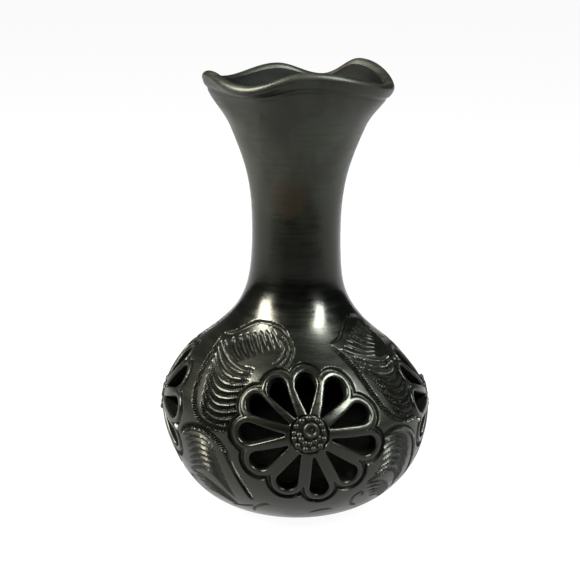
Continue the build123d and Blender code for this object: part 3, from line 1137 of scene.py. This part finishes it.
def unburnished_clay(name):
    """The dull inside of the vessel and the knife-cut walls of the openings."""
    graph = Material(name)
    cloud = graph.ramp(graph.noise(70, detail=5), 0.35, 0.65)
    colour = graph.mix(cloud, (0.0012, 0.0014, 0.0012, 1), (0.0030, 0.0036, 0.0028, 1))
    bump = graph.add("ShaderNodeBump", Strength=0.3, Distance=0.0002, Height=graph.noise(500, detail=4))
    return graph.shade(Base_Color=colour, Roughness=0.6, Normal=bump.outputs[0], Specular_IOR_Level=0.06)


def plain(name, colour, rough, glow=0.0):
    """One colour all over, that may give off white light."""
    return Material(name).shade(
        Base_Color=(*colour, 1), Roughness=rough, Emission_Color=(1, 1, 1, 1), Emission_Strength=glow
    )


# ---- Stage ----
CAMERA_AT = (0, -0.700, 0.27406)
CAMERA_AIMS_AT = (0, 0, 0.106)
CAMERA_ROLL = 0.75
CAMERA_LENS = 95.23
CAMERA_SHIFT = (-0.0110, -0.0111)
LIGHTS_AIM_AT = (0, 0, 0.09)


def camera():
    """The camera, at the height and distance from which the mouth looks as open as it should."""
    data = bpy.data.cameras.new("camera")
    data.lens = CAMERA_LENS
    data.sensor_width = 36
    data.shift_x, data.shift_y = CAMERA_SHIFT
    data.clip_start, data.clip_end = 0.02, 60
    place = bpy.data.objects.new("camera", data)
    place.location = CAMERA_AT
    across = CAMERA_AIMS_AT[1] - CAMERA_AT[1]
    down = math.atan2(CAMERA_AT[2] - CAMERA_AIMS_AT[2], across)
    place.rotation_euler = (math.pi / 2 - down, 0, 0)
    place.rotation_euler.rotate_axis("Z", math.radians(CAMERA_ROLL))
    bpy.context.scene.collection.objects.link(place)
    bpy.context.scene.camera = place


def sheet(name, x, y, z, material):
    """A level rectangle, from ranges of x and y in metres."""
    corners = [(x[0], y[0], z), (x[1], y[0], z), (x[1], y[1], z), (x[0], y[1], z)]
    points = [[c / MM for c in corner] for corner in corners]
    thing = add_mesh(name, points, [(0, 1, 2, 3)], material)
    return thing


def floor():
    """A pale table, and in front of it a dark sheet that only reflections see: a painted dark reflection for
    the unlit end of the studio.
    """
    sheet("table", (-14, 14), (-14, 14), 0, plain("pale_table", (0.04, 0.04, 0.04), 1.0, glow=0.95))
    # Painted reflection: a dark sheet, hidden from the camera and from shadows, darkens what the clay
    # reflects in front
    black = plain("dark_reflection_sheet", (0.01, 0.01, 0.01), 1.0)
    dark = sheet("dark_reflection_sheet", (-0.9, 0.9), (-1.6, -0.25), 0.0015, black)
    dark.visible_camera = False
    dark.visible_shadow = False


def soft_box(name, azimuth, elevation, distance, width, height, power, colour=(1, 1, 1)):
    """An area light in a direction from the vase, facing it."""
    data = bpy.data.lights.new(name, "AREA")
    data.shape = "RECTANGLE"
    data.size, data.size_y = width, height
    data.energy = power
    data.color = colour
    light = bpy.data.objects.new(name, data)
    a, e = math.radians(azimuth), math.radians(elevation)
    away = np.array([math.sin(a) * math.cos(e), -math.cos(a) * math.cos(e), math.sin(e)])
    light.location = np.array(LIGHTS_AIM_AT) + away * distance
    light.rotation_euler = (math.pi / 2 - e, 0, a)
    bpy.context.scene.collection.objects.link(light)


def room():
    """White round the table for the eye; for light on the clay, bright behind and dim in front."""
    world = bpy.data.worlds.new("room")
    bpy.context.scene.world = world
    graph = Graph(world)
    direction = graph.add("ShaderNodeTexCoord").outputs["Generated"]
    depth = graph.add("ShaderNodeSeparateXYZ", Vector=direction).outputs[1]
    glow = graph.ramp(depth, -0.15, 0.85, 0.012, 0.6)
    seen = graph.add("ShaderNodeLightPath").outputs["Is Camera Ray"]
    graph.fill(world.node_tree.nodes["Background"], {"Strength": graph.maths("MAXIMUM", seen, glow)})


def lights():
    """Two boxes that leave the highlights on the neck, and a weak one over the back."""
    soft_box("left_box", -70, 39, 1.1, 0.42, 0.66, 52, (1.0, 0.96, 0.87))
    soft_box("right_box", 59, 43, 1.1, 0.28, 0.60, 32, (0.94, 1.0, 0.98))
    soft_box("top_back", 180, 62, 2.2, 2.6, 1.6, 5)


# ---- Assembly ----
def keep(piece, node, slot):
    """Puts a piece in the place of its CAD node."""
    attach(piece, "root")
    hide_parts(node)


# Coarse cells round the vessel
FINE_COLUMNS = 440
RAW_CLAY = unburnished_clay("unburnished_clay")


def build():
    """Every piece of clay, from the wall to the pellets."""
    columns = FINE_COLUMNS
    clay = burnished_clay("burnished_clay")
    applied = burnished_clay("applied_clay", applied=True)
    seams = [SLAB_SEAM, BOWL_SEAM, SHOULDER_SEAM, NECK_SEAM]
    outer = [seam_arc(seam, FOOT_RADIUS, ARC[-1]) for seam in seams] + [ARC[-1]]
    inner = [seam_arc(seam, FOOT_RADIUS, ARC[-1], inside=True) for seam in seams] + [ARC[-1]]
    rows = [
        ("bowl_wall", carving_detail, opening_detail),
        ("shoulder", carving_detail, no_detail),
        ("neck", no_detail, no_detail),
        ("mouth", no_detail, no_detail),
    ]
    for i, (node, detail, inner_detail) in enumerate(rows):
        piece = wall_piece(
            f"{node}_clay", outer[i : i + 2], inner[i : i + 2], columns, clay, detail, inner_detail
        )
        keep(piece, node, "burnished_clay")
    keep(turned_piece("base_slab_clay", slab_line(), columns, clay), "base_slab", "burnished_clay")
    keep(rim_piece("ruffled_rim_clay", 2 * columns, clay), "ruffled_rim", "burnished_clay")
    for flower in range(len(FLOWER_AZIMUTHS)):
        number = flower + 1
        keep(boss_piece(flower, applied), f"flower_boss_{number}", "applied_clay")
        keep(button_piece(flower, applied), f"flower_button_{number}", "applied_clay")
        keep(pellet_piece(flower, applied), f"flower_pellets_{number}", "applied_clay")


build()
camera()
floor()
room()
lights()
bpy.context.scene.view_settings.view_transform = "Standard"
